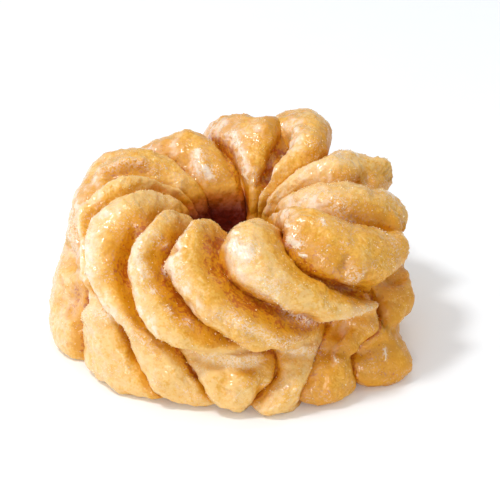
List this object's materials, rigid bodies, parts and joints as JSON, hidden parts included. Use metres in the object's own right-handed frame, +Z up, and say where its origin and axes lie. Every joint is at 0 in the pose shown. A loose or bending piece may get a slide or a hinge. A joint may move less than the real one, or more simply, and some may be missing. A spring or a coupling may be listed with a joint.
{
  "type": "cruller doughnut",
  "caption": "Ring of choux dough piped in twisted, swirling ridges, fried and glazed with sugar, with a small round hole.",
  "frame": {"origin": "under the middle of the ring, on the plane that the sole stands on", "axes": "+Z up through the hole, the thin way through the ring; -Y towards the low, long-swirled side and +X towards the short, blunt-ended ridges"},
  "size_m": [0.0846, 0.0842, 0.0436],
  "materials": {
    "glazed_choux": null
  },
  "bodies": {
    "root": {"cruller": "glazed_choux"}
  },
  "joints": []
}
